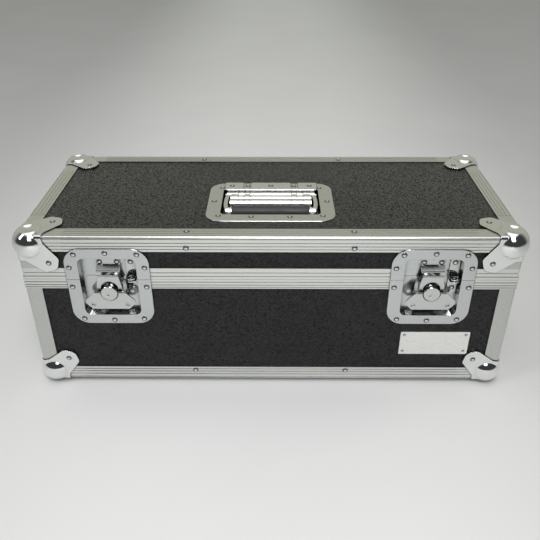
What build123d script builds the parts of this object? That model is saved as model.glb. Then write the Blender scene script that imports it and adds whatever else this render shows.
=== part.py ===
"""Record case: panels in aluminium edge profiles, ball corners, two butterfly latches and a sprung handle.

Millimetres. X runs to the right as seen from the front, Y to the back and Z up. The origin is on the surface
that the case stands on, under the middle of the case.
"""

import os
from math import radians, sqrt, tan

from build123d import *

# Shell, over its edge profiles
width = 600.0
depth = 246.0
base_height = 159.0
lid_height = 59.0
seam_gap = 0.3
panel_thickness = 7.0

# Aluminium profiles
edge_leg = 20.3
edge_sheet = 1.5
edge_round = 3.0
inner_sheet = 1.2
slot_play = 0.2
mitre_play = 0.1
base_rim_leg = 13.3
lid_rim_leg = 15.5
rim_inner_leg = 10.0
tongue_sheet = 1.6
tongue_height = 4.8
groove_width = 7.1
groove_height = 6.0
line_width = 1.2
line_depth = 0.5
flat_line_depth = 0.2
edge_lines = (3.3, 8.4, 12.8, 16.9)
base_rim_lines = (3.8, 8.0, 11.2)
lid_rim_lines = (4.2, 9.3)

# Ball corners
ball_radius = 21.3
ball_proud = 7.7
ball_flat = 1.5
ball_deck = 4.0
ball_dimple = 9.4
ball_dimple_depth = 2.6
corner_sheet = 1.2
corner_play = 0.15
corner_notch = 31.5
corner_neck = (32.5, 8.5)
corner_shoulder = (48.5, 30.0)
corner_lobe = 44.75
corner_neck_round = 8.0
corner_shoulder_round = 6.0
corner_lobe_round = 9.0
corner_reach = 55.0
corner_rivet = 35.5

# Rivets
rivet_head = 3.5
rivet_rise = 1.4
rivet_shank = 1.6
rivet_play = 0.05
rivet_tail = 2.6
rivet_tail_rise = 1.0
edge_rivet_place = 99.2
edge_rivet_wall = 15.0
edge_rivet_flat = 13.5
rivet_grip_short = 0.5

# Butterfly latches
latch_inset = 104.0
latch_drop = 11.5
dish_sheet = 1.2
dish_width = 102.0
dish_height = 109.0
dish_corner = 21.0
pan_width = 70.0
pan_height = 82.0
pan_corner = 8.0
pan_depth = 9.0
pan_draft = 10.0
dish_cut_play = 0.4
dish_edge_round = 0.72
dish_rivet_inset = 5.7
dish_rivet_corner = (13.4, 7.6)
dish_rivet_rows = (28.5, 1.0)
hub_drop = 4.5
hub_radius = 10.0
hub_proud = 8.0
hub_back = 0.0
hub_groove = 0.6
hub_groove_places = (3.6, 1.6)
hub_chamfer = 0.6
hub_dimple = (-1.5, -2.5)
hub_dimple_radius = 1.8
hub_dimple_out = 0.9
cam_radius = 9.5
cam_offset = 3.0
cam_depth = 4.5
cam_play = 1.2
spindle_radius = 4.0
spindle_tail = 6.5
running_play = 0.05
moving_play = 0.3
boss_front = 4.8
boss_top_radius = 12.5
boss_base_radius = 19.0
hook_sheet = 1.5
hook_front = 3.0
hook_top = 22.5
hook_top_width = 24.0
hook_width = 30.0
hook_bottom = 21.8
hook_roll = 1.3
hook_window_play = 0.4
hook_view_gap = 4.0
hook_travel = 6.0
hook_nose_set = 0.4
hook_frame_gap = 0.5
guide_sheet = 1.2
guide_play = 0.5
wing_sheet = 1.5
wing_pin_proud = 5.3
wing_pin_radius = 1.0
wing_barrel = 1.9
wing_half_top = 18.0
wing_shoulder = (32.5, 13.0)
wing_foot = (22.5, 23.5)
wing_round = 6.0
wing_cutout = 11.0
wing_hole = 2.75
wing_hole_place = (21.0, 16.5)
wing_set = 0.2
keeper_width = 28.0
keeper_sheet = 1.4
keeper_bar = 1.8
keeper_bar_proud = -1.0
keeper_bar_height = 23.0
keeper_rivets = (10.5, 32.0)
keeper_margin = 6.0
keeper_fold = 2.4
keeper_lip = ((0.9, -1.4), (-0.8, 1.6))
lug_offset = 27.0
lug_width = 12.0
lug_top = 38.0
lug_bottom = 13.0
lug_sheet = 1.5
lug_reach = 4.2
lug_eye = 3.25
lug_seam_gap = 0.8
lug_rivets = (32.0, -4.0)
lug_round_play = 0.1

# Handle
handle_set = 95.0
handle_width = 162.0
handle_length = 109.5
handle_corner = 20.0
handle_pan_width = 126.0
handle_pan_length = 74.5
handle_pan_corner = 6.0
handle_pan_depth = 12.5
handle_draft = 8.5
axle_inset = 9.25
axle_drop = 4.0
axle_radius = 2.0
axle_end_gap = 2.5
barrel_radius = 4.2
knuckle_gap = 0.7
knuckle_steps = (26.1, 18.2, 10.8)
hinge_sheet = 1.2
hinge_wall_gap = 1.2
hinge_plate_inset = 3.0
tab_edge_gap = 0.5
tab_width = 24.0
tab_end_gap = 2.0
tab_middle_gap = 0.5
tab_rivet_place = 10.5
tab_rivet_inset = 9.0
spring_wire = 0.8
spring_play = 0.3
web_sheet = 2.0
web_front = 31.0
web_beads = ((12.0, 3.6), (25.5, 4.6))
web_bead_rise = 3.4
web_top_drop = 0.4
web_axle_gap = 0.6
web_groove = (1.0, 0.9)
arm_width = 5.2
arm_height = 5.0
arm_bow = 2.6
arm_gap = 2.1
grip_inset = 16.25
grip_radius = 7.5
grip_end_gap = 4.1
grip_edge = 0.9
grip_core = 3.5
grip_floor_gap = 0.6
grip_boss = 5.5
grip_boss_length = 7.8
grip_boss_gap = 0.2
handle_rivet_side = 10.0
handle_rivet_corner = (2.0, 3.25)
handle_rivet_front = (24.0, 5.75)
handle_rivet_back = (31.0, 8.75)

# Back hinges
hinge_inset = 120.0
hinge_width = 60.0
hinge_leaf = 25.0
hinge_leaf_sheet = 1.5
hinge_barrel = 3.7
hinge_pin = 1.8
hinge_knuckles = 5
hinge_web_gap = 0.5
hinge_rivet_height = 18.0
hinge_rivet_spread = 20.0

# Lining
foam_floor = 5.0
foam_front = 12.0
foam_side = 8.0
foam_lid = 8.0
foam_play = 0.3
foam_pocket_play = 1.8

# Badge plate
badge_width = 88.5
badge_height = 36.0
badge_sheet = 0.8
badge_inset = 89.0
badge_rise = 61.0
badge_corner = 1.5
badge_margin = 5.0
badge_rivet = 1.9
badge_rivet_rise = 0.7
badge_rivet_short = 1.0

# How far a cutting shape runs past what it cuts
past = 1.0

# Planes and places worked out from the sizes above
foot = ball_proud - ball_flat
left, right = -width / 2, width / 2
front, back = -depth / 2, depth / 2
bottom = foot
seam = bottom + base_height
top = seam + lid_height
middle_height = (bottom + top) / 2
base_top = seam - seam_gap / 2
lid_bottom = seam + seam_gap / 2
panel_inset = edge_sheet
panel_inner = panel_inset + panel_thickness
slot_inner = panel_inner + slot_play
wall_start = slot_inner + inner_sheet + mitre_play
ball_centre = ball_radius - ball_proud
latch_height = seam - latch_drop
latch_places = {"left": left + latch_inset, "right": right - latch_inset}
handle_y = front + handle_set
handle_z = top - panel_inset
hinge_y = back + hub_proud - hinge_barrel
hinge_places = (left + hinge_inset, right - hinge_inset)
badge_place = (right - badge_inset, bottom + badge_rise)
knuckle_end = handle_pan_width / 2 - arm_gap - arm_width - arm_bow
knuckle_ends = tuple(knuckle_end - step for step in knuckle_steps) + (knuckle_end,)
axle_half = handle_pan_width / 2 - axle_end_gap
grip_half = knuckle_end - grip_end_gap
axle_back = handle_pan_length / 2 - axle_inset
grip_y = grip_inset - handle_pan_length / 2
grip_z = -(handle_pan_depth - dish_sheet) + grip_floor_gap + grip_radius
tab_end = handle_pan_width / 2 - tab_end_gap
tab_middle = knuckle_ends[0] - tab_middle_gap
tab_spans = ((-tab_end, tab_width - tab_end), (-tab_middle, tab_middle), (tab_end - tab_width, tab_end))
tab_rivets = (tab_rivet_inset - tab_end, 0.0, tab_end - tab_rivet_inset)
hinge_wall = handle_pan_length / 2 - handle_pan_depth * tan(radians(handle_draft)) - hinge_wall_gap


def block(x, y, z):
    """Box between pairs of planes, each pair given as (low, high)."""
    sizes = [high - low for low, high in (x, y, z)]
    centre = [(high + low) / 2 for low, high in (x, y, z)]
    return Pos(*centre) * Box(*sizes)


def rod(start, end, radius):
    """Cylinder from one point to another."""
    axis = Vector(*end) - Vector(*start)
    plane = Plane(origin=start, z_dir=axis.normalized())
    return plane * Cylinder(radius, axis.length, align=(Align.CENTER, Align.CENTER, Align.MIN))


def outline(points):
    """Flat face inside straight lines through the points."""
    return make_face(Polyline(*points, close=True))


def side_profile(points, x_low, x_high):
    """Solid between two X planes, its (y, z) outline given by the points."""
    plane = Plane(origin=(x_low, 0, 0), x_dir=(0, 1, 0), z_dir=(1, 0, 0))
    return extrude(plane * outline(points), x_high - x_low)


def spans(shape):
    """Low and high end of the box round a shape, in X, Y and Z."""
    box = shape.bounding_box(optimal=False)
    return (box.min.X, box.max.X), (box.min.Y, box.max.Y), (box.min.Z, box.max.Z)


def cut(shape, tools):
    """The shape less the tools whose boxes reach its own."""
    own = spans(shape)
    near = []
    for tool in tools:
        if all(low < end and start < high for (low, high), (start, end) in zip(own, spans(tool))):
            near.append(tool)
    return shape - near if near else shape


def both_sides(shape):
    """A shape and its mirror image in the plane X = 0."""
    return [shape, mirror(shape, about=Plane.YZ)]


# Rivets: every spot is (point, direction the head looks along)


def rivet(spot, look, grip, head=rivet_head, rise=rivet_rise, tail=False):
    """Dome-headed rivet, with a flat tail where its shank comes out behind."""
    plane = Plane(origin=spot, z_dir=look)
    bend = RadiusArc((head, 0), (0, rise), -(head**2 + rise**2) / (2 * rise))
    lines = Polyline((0, rise), (0, -grip), (rivet_shank, -grip), (rivet_shank, 0), (head, 0))
    body = revolve(Plane.XZ * make_face(bend + lines), Axis.Z)
    if tail:
        hang = (Align.CENTER, Align.CENTER, Align.MAX)
        body += Pos(0, 0, -grip) * Cylinder(rivet_tail, rivet_tail_rise, align=hang)
    return plane * body


def rivet_hole(spot, look, grip):
    """What a rivet's shank needs cut out of the sheets and panels that it passes."""
    plane = Plane(origin=spot, z_dir=look)
    start = Pos(0, 0, rivet_rise / 2)
    hang = (Align.CENTER, Align.CENTER, Align.MAX)
    shank = Cylinder(rivet_shank + rivet_play, grip + rivet_rise, align=hang)
    return plane * start * shank


# Ball corners, drawn at the left front bottom corner and mirrored to the other seven


def ball_shape(level, stacking):
    """The ball, flattened where it meets the floor, or on top of the lid flattened and dimpled."""
    radius = ball_radius - corner_sheet + level
    ball = Pos(ball_centre, ball_centre, ball_centre) * Sphere(radius)
    flat = ball_deck if stacking else foot
    span = (-2 * ball_radius, 2 * ball_radius)
    ball &= block(span, span, (corner_sheet - level - flat, 2 * ball_radius))
    if stacking:
        curve = (ball_dimple**2 + ball_dimple_depth**2) / (2 * ball_dimple_depth)
        low = ball_dimple_depth - ball_deck - curve
        ball -= Pos(ball_centre, ball_centre, low) * Sphere(curve + corner_sheet - level)
    return ball


def corner_core(level, stacking=False):
    """The corner of the shell with its faces moved out by level, and the ball standing out of it."""
    far = corner_reach + past
    near = -2 * ball_radius
    body = block((-level, far), (-level, far), (-level, far))
    outer = body.edges().filter_by(lambda e: sum(abs(c + level) < 1e-6 for c in e.center()) == 2)
    body = fillet(outer, edge_round + level)
    body -= block((near, ball_centre), (near, ball_centre), (near, ball_centre))
    return body + ball_shape(level, stacking)


def corner_outline():
    """Outline of one leg of a ball corner, measured from the two edges of its face."""
    near = -ball_radius
    half = ((corner_notch, near), (corner_notch, 0), corner_neck, corner_shoulder)
    mirrored = tuple((y, x) for x, y in reversed(half))
    face = outline(((near, near), *half, (corner_lobe, corner_lobe), *mirrored))
    rounds = (
        (corner_neck, corner_neck_round),
        (corner_shoulder, corner_shoulder_round),
        ((corner_lobe, corner_lobe), corner_lobe_round),
    )
    for (x, y), radius in rounds:
        turns = ((x, y), (y, x))
        found = face.vertices().filter_by(lambda v: any(abs(v.X - i) + abs(v.Y - j) < 1e-6 for i, j in turns))
        face = fillet(found, radius)
    return face


def ball_corner_blank(stacking):
    """Pressed ball corner with three legs, at the origin."""
    shell = corner_core(corner_sheet, stacking) - corner_core(0, stacking)
    leg = extrude(corner_outline(), ball_centre + 2 * ball_radius)
    lift = Pos(0, 0, -2 * ball_radius)
    faces = (
        Plane.XY,
        Plane(origin=(0, 0, 0), x_dir=(0, 1, 0), z_dir=(1, 0, 0)),
        Plane(origin=(0, 0, 0), x_dir=(0, 0, 1), z_dir=(0, 1, 0)),
    )
    legs = [plane * lift * leg for plane in faces]
    pattern = legs[0] + legs[1] + legs[2]
    return shell & pattern


def corner_places():
    """Name of each corner, with -1 for each direction in which the drawn one is mirrored to get there."""
    places = {}
    for body, rise in (("base", 1), ("lid", -1)):
        for deep, inward in (("front", 1), ("back", -1)):
            for side, sideways in (("left", 1), ("right", -1)):
                places[f"{body}_ball_corner_{deep}_{side}"] = (sideways, inward, rise)
    return places


def carry(shape, signs):
    """A shape mirrored across the middle of the case in each direction that has -1."""
    for plane, sign in zip((Plane.YZ, Plane.XZ, Plane.XY.offset(middle_height)), signs):
        if sign < 0:
            shape = mirror(shape, about=plane)
    return shape


def corner_rivet_spots(signs):
    """Rivets of the ball corner that the signs lead to, one through each leg."""
    sideways, inward, rise = signs
    x, y = sideways * (left + corner_rivet), inward * (front + corner_rivet)
    level = bottom if rise > 0 else top
    z = level + rise * corner_rivet
    return [
        ((x, inward * (front - corner_sheet), z), (0, -inward, 0)),
        ((sideways * (left - corner_sheet), y, z), (-sideways, 0, 0)),
        ((x, y, level - rise * corner_sheet), (0, 0, -rise)),
    ]


# Edge profiles


def ribbed(face, lines, leg_from, leg_to):
    """A profile with lines cut in the outer faces of its legs, shallower ones in the leg along x."""
    for line in lines:
        face -= Pos(line, 0) * Rectangle(line_width, 2 * flat_line_depth)
        if leg_from < line < leg_to:
            face -= Pos(0, line) * Rectangle(2 * line_depth, line_width)
    return face


def angle_legs():
    """Section of the two outer legs of an angle, rounded where they meet."""
    legs = outline(
        (
            (0, 0),
            (edge_leg, 0),
            (edge_leg, edge_sheet),
            (edge_sheet, edge_sheet),
            (edge_sheet, edge_leg),
            (0, edge_leg),
        )
    )
    return fillet(legs.vertices().sort_by(lambda v: v.X + v.Y)[0], edge_round)


def double_angle():
    """Section of the bottom and top profiles: x runs inwards, y away from the face that they edge."""
    shelf = outline(
        (
            (edge_sheet / 2, slot_inner),
            (panel_inner, slot_inner),
            (panel_inner, slot_inner + inner_sheet),
            (edge_sheet / 2, slot_inner + inner_sheet),
        )
    )
    return ribbed(angle_legs(), edge_lines, edge_round, edge_leg) + shelf


def rim_section(leg, web_start, lines):
    """Section of a rim profile: x runs inwards and y away from the seam."""
    outer = outline(((0, 0), (edge_sheet, 0), (edge_sheet, leg), (0, leg)))
    for line in lines:
        outer -= Pos(0, line) * Rectangle(2 * line_depth, line_width)
    inner = outline(
        (
            (slot_inner, 0),
            (slot_inner + inner_sheet, 0),
            (slot_inner + inner_sheet, rim_inner_leg),
            (slot_inner, rim_inner_leg),
        )
    )
    web_end = web_start + edge_sheet
    web = outline(
        (
            (edge_sheet / 2, web_start),
            (slot_inner + inner_sheet / 2, web_start),
            (slot_inner + inner_sheet / 2, web_end),
            (edge_sheet / 2, web_end),
        )
    )
    return outer + inner + web


def base_rim_section():
    """Rim of the base, with the tongue that stands up into the lid."""
    section = rim_section(base_rim_leg, 0, base_rim_lines)
    groove_middle = edge_sheet + groove_width / 2
    tongue = Pos(groove_middle, -tongue_height / 2 + edge_sheet / 4)
    return section + tongue * Rectangle(tongue_sheet, tongue_height + edge_sheet / 2)


def lid_rim_section():
    """Rim of the lid, open below its web for the tongue."""
    return rim_section(lid_rim_leg, groove_height, lid_rim_lines)


def mitred(side):
    """Wedge over one side of the case, cut at 45 degrees at both ends."""
    deep = 2 * edge_leg
    if side in ("front", "back"):
        points = (
            (left + mitre_play, front),
            (right - mitre_play, front),
            (right - deep - mitre_play, front + deep),
            (left + deep + mitre_play, front + deep),
        )
    else:
        points = ((left, front), (left + deep, front + deep), (left + deep, back - deep), (left, back))
    wedge = Pos(0, 0, bottom - past) * extrude(outline(points), top - bottom + 2 * past)
    if side == "back":
        wedge = mirror(wedge, about=Plane.XZ)
    if side == "right":
        wedge = mirror(wedge, about=Plane.YZ)
    return wedge


def run_profile(section, side, level, up):
    """A profile along one side, its section drawn from the face at level and turned up or down."""
    if side in ("front", "back"):
        plane = Plane(origin=(0, front, level), x_dir=(0, 1, 0), z_dir=(up, 0, 0))
        bar = extrude(plane * section, width / 2, both=True)
    else:
        plane = Plane(origin=(left, 0, level), x_dir=(1, 0, 0), z_dir=(0, -up, 0))
        bar = extrude(plane * section, depth / 2, both=True)
    if side == "back":
        bar = mirror(bar, about=Plane.XZ)
    if side == "right":
        bar = mirror(bar, about=Plane.YZ)
    return bar & mitred(side)


def corner_angles(low, high):
    """Four vertical angle profiles between two heights."""
    plane = Plane(origin=(left, front, low))
    angle = extrude(plane * angle_legs(), high - low)
    pair = both_sides(angle)
    return pair + [mirror(shape, about=Plane.XZ) for shape in pair]


# Panels


def wall_panels(low, high):
    """Front, back, left and right panel between two heights; the side panels stand between the others."""
    inset = panel_inset
    front_span = (left + inset + mitre_play, right - inset - mitre_play)
    side_span = (front + panel_inner + mitre_play, back - panel_inner - mitre_play)
    z = (low, high)
    return {
        "front": block(front_span, (front + inset, front + panel_inner), z),
        "back": block(front_span, (back - panel_inner, back - inset), z),
        "left": block((left + inset, left + panel_inner), side_span, z),
        "right": block((right - panel_inner, right - inset), side_span, z),
    }


def flat_panel(low, high):
    """Bottom or top panel, in the slots of the profiles round it."""
    inset = panel_inset + mitre_play
    return block((left + inset, right - inset), (front + inset, back - inset), (low, high))


# Recessed dishes, drawn on Plane.XY with the flange's underside at z = 0 and the pan below


def dish(size, corner, pan, pan_round, depth_below, draft):
    """Pressed dish: a flange with a rounded outline round a drafted pan."""
    flange = extrude(RectangleRounded(*size, corner), dish_sheet)
    rim = flange.faces().sort_by(Axis.Z)[-1].edges()
    flange = fillet(rim, dish_edge_round)
    outer = RectangleRounded(pan[0] + 2 * dish_sheet, pan[1] + 2 * dish_sheet, pan_round + dish_sheet)
    outer = extrude(outer, -(depth_below + dish_sheet), taper=draft)
    cavity = RectangleRounded(*pan, pan_round)
    cavity = extrude(Pos(0, 0, dish_sheet) * cavity, -(depth_below + dish_sheet), taper=draft)
    return flange + outer - cavity


def dish_opening(pan, pan_round, deep):
    """What the pan needs cut out of the panels and profiles that it passes."""
    grow = 2 * (dish_sheet + dish_cut_play)
    face = RectangleRounded(pan[0] + grow, pan[1] + grow, pan_round + grow / 2)
    return extrude(face, -deep)


# Latches. Their frame has its origin on the front of the shell at the middle of the dish, and the row's axes


def latch_dish():
    """Both halves of the dish in one, with its flange on the front of the shell."""
    face = Plane(origin=(0, 0, 0), x_dir=(1, 0, 0), z_dir=(0, -1, 0))
    size, pan = (dish_width, dish_height), (pan_width, pan_height)
    return face * dish(size, dish_corner, pan, pan_corner, pan_depth, pan_draft)


def latch_dish_upper():
    """Half of the dish that the lid carries."""
    level = latch_drop + seam_gap / 2
    half = block((-dish_width, dish_width), (-pan_depth, 2 * pan_depth), (level, dish_height))
    return latch_dish() & half


def frustum(front_y, back_y, front_radius, back_radius):
    """Cone about the hub's axis between two depths."""
    plane = Plane(origin=(0, front_y, -hub_drop), z_dir=(0, 1, 0))
    length = back_y - front_y
    return plane * Cone(front_radius, back_radius, length, align=(Align.CENTER, Align.CENTER, Align.MIN))


def latch_dish_lower():
    """Half of the dish that the base carries, with the hub's boss and the cheeks that guide the hook."""
    level = latch_drop - seam_gap / 2
    half = block((-dish_width, dish_width), (-pan_depth, 2 * pan_depth), (-dish_height, level))
    body = latch_dish() + frustum(boss_front, pan_depth + dish_sheet / 2, boss_top_radius, boss_base_radius)
    inner = boss_front + dish_sheet
    radii = (boss_top_radius - dish_sheet, boss_base_radius - dish_sheet / 2)
    body -= frustum(inner, pan_depth + 2 * dish_sheet, *radii)
    low = hook_width / 2 + guide_play
    cheek = block(
        (low, low + guide_sheet),
        (-guide_play, pan_depth + dish_sheet / 2),
        (-hub_drop - hook_bottom, -hub_drop - cam_radius),
    )
    for shape in both_sides(cheek):
        body += shape
    reach = pan_depth + dish_sheet
    body -= rod((0, 0, -hub_drop), (0, reach, -hub_drop), spindle_radius + running_play)
    return body & half


def latch_hub():
    """Turned hub with its cam, its spindle through the boss and the two pins that the wing folds on."""
    z = -hub_drop
    body = rod((0, -hub_proud, z), (0, hub_back, z), hub_radius)
    body = chamfer(body.edges().sort_by(Axis.Y)[0], hub_chamfer)
    for groove in hub_groove_places:
        ring = rod((0, -groove - hub_groove, z), (0, -groove, z), hub_radius + past)
        body -= ring - rod((0, -groove - past, z), (0, -groove + past, z), hub_radius - hub_groove)
    dimple_x, dimple_z = hub_dimple
    body -= Pos(dimple_x, -hub_proud - hub_dimple_out, z + dimple_z) * Sphere(hub_dimple_radius)
    body += rod((0, hub_back, z - cam_offset), (0, cam_depth, z - cam_offset), cam_radius)
    tail_start = boss_front + dish_sheet + moving_play
    body += rod((0, hub_back, z), (0, tail_start, z), spindle_radius)
    body += rod((0, tail_start, z), (0, tail_start + dish_sheet, z), spindle_tail)
    pin_end = wing_half_top - moving_play
    body += rod((-pin_end, -wing_pin_proud, z), (pin_end, -wing_pin_proud, z), wing_pin_radius)
    return body


def latch_wing():
    """Folding wing: a plate cut out round the hub, with an ear rolled round each pin."""
    z = -hub_drop
    points = (
        (-wing_half_top, wing_barrel),
        (-wing_shoulder[0], -wing_shoulder[1]),
        (-wing_foot[0], -wing_foot[1]),
        (wing_foot[0], -wing_foot[1]),
        (wing_shoulder[0], -wing_shoulder[1]),
        (wing_half_top, wing_barrel),
    )
    face = outline(points)
    face = fillet(face.vertices().filter_by(lambda v: v.Y < 0), wing_round)
    face -= Circle(wing_cutout)
    for side in (-1, 1):
        face -= Pos(side * wing_hole_place[0], -wing_hole_place[1]) * Circle(wing_hole)
    plane = Plane(origin=(0, -wing_pin_proud + wing_set, z), x_dir=(1, 0, 0), z_dir=(0, -1, 0))
    plate = extrude(plane * face, wing_sheet)
    inner = wing_cutout + moving_play
    for side in (-1, 1):
        ends = [(side * x, -wing_pin_proud, z) for x in (inner, wing_half_top)]
        plate += rod(*ends, wing_barrel)
    reach = wing_half_top + past
    bore = rod((-reach, -wing_pin_proud, z), (reach, -wing_pin_proud, z), wing_pin_radius + running_play)
    return plate - bore


def latch_hook():
    """Hook plate: a window round the hub, a rolled nose at the top and a cam frame behind."""
    z = -hub_drop
    half_top, half = hook_top_width / 2, hook_width / 2
    upper = cam_radius - cam_offset + cam_play
    lower = -cam_radius - cam_offset - cam_play
    shoulder = upper + hook_sheet
    points = (
        (-half_top, hook_top),
        (half_top, hook_top),
        (half, shoulder),
        (half, -hook_bottom),
        (-half, -hook_bottom),
        (-half, shoulder),
    )
    face = outline(points)
    window = hub_radius + hook_window_play
    low = -hook_travel
    face -= Pos(0, hook_view_gap) * Circle(window)
    face -= Pos(0, low) * Circle(window)
    face -= Pos(0, (hook_view_gap + low) / 2) * Rectangle(2 * window, hook_view_gap - low)
    plane = Plane(origin=(0, -hook_front + hook_sheet, z), x_dir=(1, 0, 0), z_dir=(0, -1, 0))
    body = extrude(plane * face, hook_sheet)
    nose_y = -hook_front + hook_nose_set
    body += rod((-half_top, nose_y, z + hook_top), (half_top, nose_y, z + hook_top), hook_roll)
    deep = cam_depth - moving_play
    rise = (z - hook_bottom, z + shoulder)
    side = block((half - hook_sheet, half), (-hook_front + hook_sheet / 2, deep), rise)
    for shape in both_sides(side):
        body += shape
    inside = half - hook_sheet / 2
    start = hub_back + hook_frame_gap
    for low in (upper, lower - hook_sheet):
        body += block((-inside, inside), (start, deep), (z + low, z + low + hook_sheet))
    return body


def latch_keeper():
    """Keeper: a plate on the upper dish with a ramp down to the bar that the hook pulls on."""
    half = keeper_width / 2
    floor = pan_depth
    face = floor - keeper_sheet
    bar_y, bar_z = -keeper_bar_proud, keeper_bar_height
    ramp_top = keeper_rivets[1] - rivet_head
    plate_top = keeper_rivets[1] + keeper_margin
    under, over = keeper_lip
    points = (
        (floor, plate_top),
        (floor, ramp_top - keeper_fold),
        (bar_y + under[0], bar_z + under[1]),
        (bar_y + over[0], bar_z + over[1]),
        (face, ramp_top),
        (face, plate_top),
    )
    body = side_profile(points, -half, half)
    return body + rod((-half, bar_y, bar_z), (half, bar_y, bar_z), keeper_bar)


def padlock_lug(tab_low, tab_high, far_z):
    """Plate on the dish floor with a tab bent forward, and an eye in the tab for a padlock."""
    low, high = lug_offset - lug_width / 2, lug_offset + lug_width / 2
    plate_z = (min(tab_low, far_z), max(tab_high, far_z))
    plate = block((low, high), (pan_depth - lug_sheet, pan_depth), plate_z)
    far = Axis.Z if far_z > tab_low else Axis((0, 0, 0), (0, 0, -1))
    ends = plate.edges().filter_by(Axis.Y).sort_by(far)[-2:]
    plate = fillet(ends, lug_width / 2 - lug_round_play)
    end_y = -lug_reach + lug_width / 2
    tab = block((low, high), (end_y, pan_depth), (tab_low, tab_high))
    tab += rod((lug_offset, end_y, tab_low), (lug_offset, end_y, tab_high), lug_width / 2)
    eye = rod((lug_offset, end_y, tab_low - past), (lug_offset, end_y, tab_high + past), lug_eye)
    return plate + tab - eye


def upper_lug():
    """Padlock lug on the lid's half of the dish."""
    low = latch_drop + lug_seam_gap
    return padlock_lug(low, low + lug_sheet, lug_top)


def lower_lug():
    """Padlock lug on the base's half of the dish."""
    high = latch_drop - lug_seam_gap
    return padlock_lug(high - lug_sheet, high, -lug_bottom)


def dish_rivet_places(upper):
    """Places of the flange rivets of one half of a latch dish, from the middle of the dish."""
    side = dish_width / 2 - dish_rivet_inset
    end = dish_height / 2 - dish_rivet_inset
    corner_x = dish_width / 2 - dish_rivet_corner[0]
    corner_z = dish_height / 2 - dish_rivet_corner[1]
    turn, row = (1, dish_rivet_rows[0]) if upper else (-1, dish_rivet_rows[1])
    return (
        (-corner_x, turn * corner_z),
        (0, turn * end),
        (corner_x, turn * corner_z),
        (-side, row),
        (side, row),
    )


def latch_rivets(place, upper):
    """Spots of the rivets of one half of a latch: flange rivets, and those on the pan floor."""
    flange_y = front - dish_sheet
    flange = []
    for x, z in dish_rivet_places(upper):
        flange.append(((place + x, flange_y, latch_height + z), (0, -1, 0)))
    lug_z = lug_rivets[0] if upper else lug_rivets[1]
    inside = [((place + lug_offset, front + pan_depth - lug_sheet, latch_height + lug_z), (0, -1, 0))]
    if upper:
        keeper_y = front + pan_depth - keeper_sheet
        for side in (-1, 1):
            spot = (place + side * keeper_rivets[0], keeper_y, latch_height + keeper_rivets[1])
            inside.append((spot, (0, -1, 0)))
    return flange, inside


# Handle. Its frame has its origin on the top panel at the middle of the dish, and the row's axes


def handle_rivet_places():
    """Places of the rivets round the handle's pan, from the middle of the dish."""
    side, end = handle_pan_width / 2, handle_pan_length / 2
    corner_x, corner_y = side + handle_rivet_corner[0], end + handle_rivet_corner[1]
    places = []
    for turn in (-1, 1):
        places += [(turn * corner_x, -corner_y), (turn * corner_x, corner_y)]
        places.append((turn * (side + handle_rivet_side), 0))
        places.append((turn * handle_rivet_front[0], -end - handle_rivet_front[1]))
        places.append((turn * handle_rivet_back[0], end + handle_rivet_back[1]))
    return places


def handle_dish():
    """Dish in the top panel that the handle folds into."""
    size = (handle_width, handle_length)
    pan = (handle_pan_width, handle_pan_length)
    return dish(size, handle_corner, pan, handle_pan_corner, handle_pan_depth - dish_sheet, handle_draft)


def hinge_spans():
    """Stretches of the axle that the hinge plate's barrels take."""
    inner, near, far, _ = knuckle_ends
    return ((-far, -near), (-inner, inner), (near, far))


def bail_spans():
    """Stretches of the axle that the bail's barrels take, clear of the hinge plate's."""
    inner, near, far, end = knuckle_ends
    gap = knuckle_gap
    right_hand = ((inner + gap, near - gap), (far + gap, end))
    left_hand = tuple((-high, -low) for low, high in right_hand)
    return left_hand + right_hand


def axle_bore(radius):
    """Bore along the handle's axle."""
    reach = axle_half + past
    return rod((-reach, axle_back, -axle_drop), (reach, axle_back, -axle_drop), radius)


def handle_hinge_plate():
    """Plate riveted to the back of the dish, going down its wall and rolled round the axle."""
    tab_top = dish_sheet + hinge_sheet
    barrel_low = -axle_drop - barrel_radius
    wall = (hinge_wall - hinge_sheet, hinge_wall)
    reach = tab_end - hinge_plate_inset
    body = block((-reach, reach), wall, (barrel_low, tab_top))
    for span in tab_spans:
        body += block(span, (wall[0], handle_length / 2 - tab_edge_gap), (dish_sheet, tab_top))
    for low, high in hinge_spans():
        body += rod((low, axle_back, -axle_drop), (high, axle_back, -axle_drop), barrel_radius)
        body += block((low, high), (axle_back, hinge_wall), (barrel_low, barrel_low + hinge_sheet))
    body -= axle_bore(axle_radius + running_play)
    inner = knuckle_ends[0] - hinge_sheet
    chamber = axle_radius + 2 * spring_play + spring_wire
    body -= rod((-inner, axle_back, -axle_drop), (inner, axle_back, -axle_drop), chamber)
    return body


def handle_axle():
    """Axle that the bail turns on."""
    return rod((-axle_half, axle_back, -axle_drop), (axle_half, axle_back, -axle_drop), axle_radius)


def handle_spring():
    """Torsion spring as a sleeve over the axle, inside the middle barrel."""
    reach = knuckle_ends[0] - hinge_sheet - spring_play
    inner = axle_radius + spring_play
    ends = [(side * reach, axle_back, -axle_drop) for side in (-1, 1)]
    return rod(*ends, inner + spring_wire) - rod(*ends, inner)


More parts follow.
